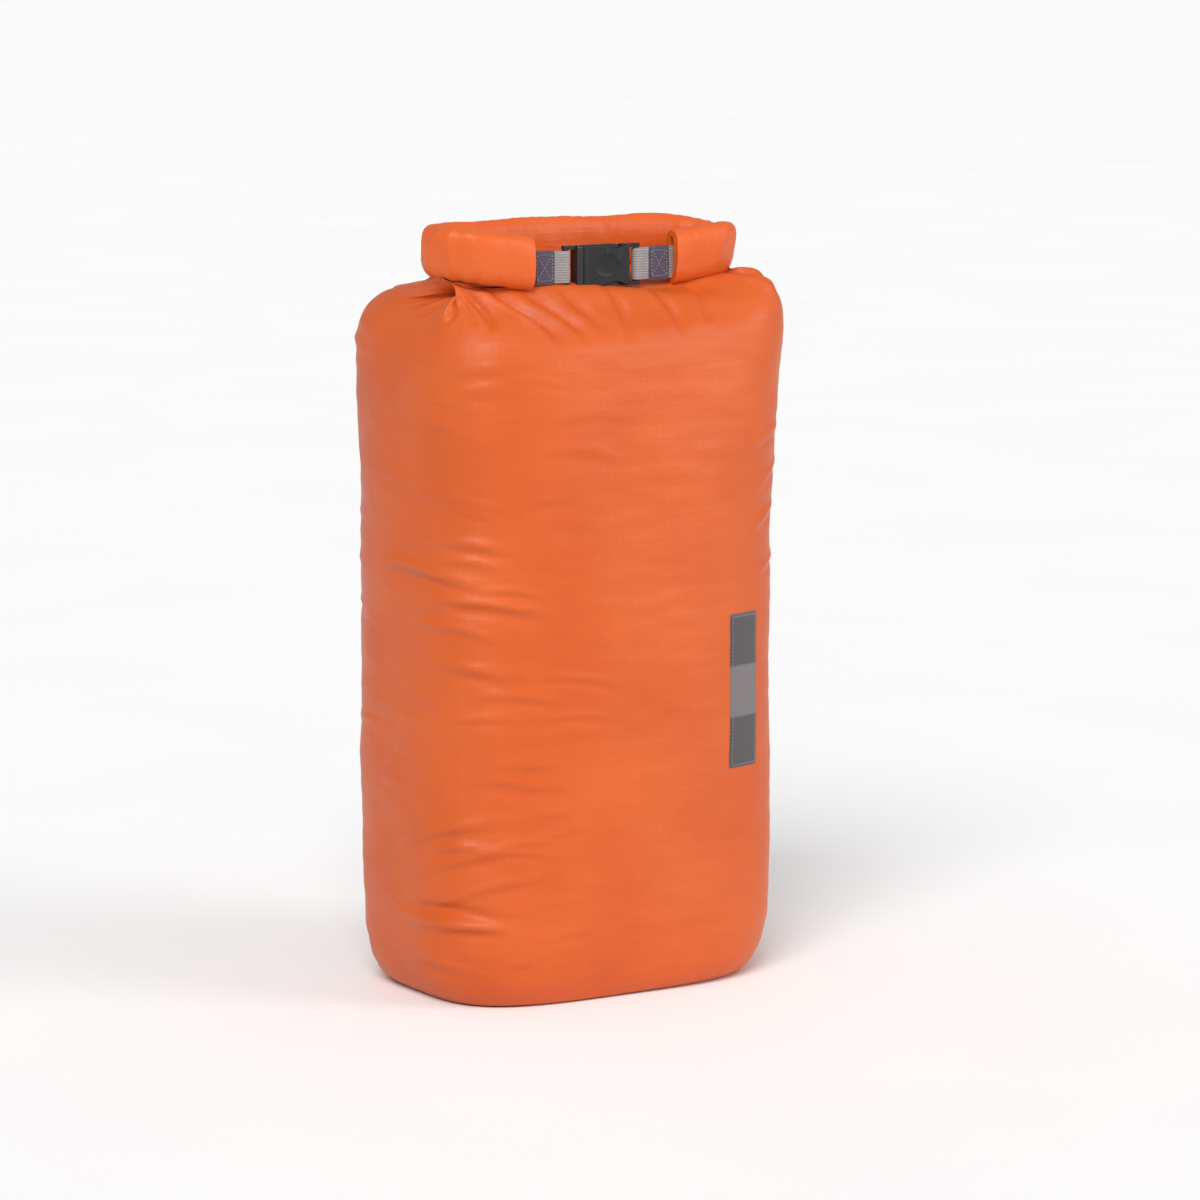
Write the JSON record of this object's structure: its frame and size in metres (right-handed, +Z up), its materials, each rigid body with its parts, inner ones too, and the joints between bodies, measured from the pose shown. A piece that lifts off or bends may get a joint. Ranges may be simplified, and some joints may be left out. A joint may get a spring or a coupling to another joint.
{
  "type": "roll-top dry bag",
  "caption": "Standing fabric dry bag with a rolled collar whose ends are clipped together by a side release buckle to make a carry loop.",
  "frame": {"origin": "centre of the base on the floor", "axes": "+Z up along the bag, -Y towards the front, the side with the buckle, +X to the right seen from the front"},
  "size_m": [0.2544, 0.1782, 0.488],
  "materials": {
    "coated_nylon": "satin",
    "seam_tape": "satin",
    "label_fabric": "matte",
    "thread": "matte",
    "stiffener": "matte",
    "webbing": "matte",
    "patch": "matte",
    "buckle": "satin"
  },
  "bodies": {
    "bag": {"body_wall": "coated_nylon", "base_panel": "coated_nylon", "base_seam_tape": "seam_tape", "back_seam_tape": "seam_tape", "side_label": "label_fabric", "label_stitching": "thread", "collar_back_run": "coated_nylon", "mouth_stiffener_front": "stiffener", "mouth_stiffener_back": "stiffener"},
    "right_end": {"collar_end_right": "coated_nylon", "stiffener_end_right": "stiffener", "webbing_right": "webbing", "patch_front_right": "patch", "patch_back_right": "patch", "box_stitch_right": "thread"},
    "left_end": {"collar_end_left": "coated_nylon", "stiffener_end_left": "stiffener", "webbing_left": "webbing", "patch_front_left": "patch", "patch_back_left": "patch", "box_stitch_left": "thread"},
    "socket": {"buckle_socket": "buckle"},
    "plug": {"buckle_plug": "buckle"},
    "upper_arm": {"plug_arm_upper": "buckle"},
    "lower_arm": {"plug_arm_lower": "buckle"}
  },
  "joints": [
    {"name": "right_end_swing", "type": "hinge", "parent": "bag", "child": "right_end", "pos_m": [0.097, -0.024, 0.471], "axis": [0, 0, 1], "range_deg": [0, 90], "deforming": ["plug_arm_upper", "plug_arm_lower"]},
    {"name": "left_end_swing", "type": "hinge", "parent": "bag", "child": "left_end", "pos_m": [-0.105, -0.024, 0.471], "axis": [0, 0, 1], "range_deg": [-90, 0]},
    {"name": "socket_turn", "type": "hinge", "parent": "right_end", "child": "socket", "pos_m": [0.022, -0.048, 0.46], "axis": [0, 0, 1], "range_deg": [-90, 0]},
    {"name": "plug_turn", "type": "hinge", "parent": "left_end", "child": "plug", "pos_m": [-0.03, -0.048, 0.46], "axis": [0, 0, 1], "range_deg": [0, 90]},
    {"name": "upper_arm_squeeze", "type": "hinge", "parent": "plug", "child": "upper_arm", "pos_m": [-0.0209, -0.048, 0.4662], "axis": [0, 1, 0], "range_deg": [0, 8], "stiffness_Nm_per_rad": 0.3},
    {"name": "lower_arm_squeeze", "type": "hinge", "parent": "plug", "child": "lower_arm", "pos_m": [-0.0209, -0.048, 0.4538], "axis": [0, -1, 0], "range_deg": [0, 8], "stiffness_Nm_per_rad": 0.3}
  ],
  "couplings": [
    {"joint": "left_end_swing", "follows": "right_end_swing", "ratio": -1},
    {"joint": "socket_turn", "follows": "right_end_swing", "ratio": -1},
    {"joint": "plug_turn", "follows": "right_end_swing", "ratio": 1}
  ]
}
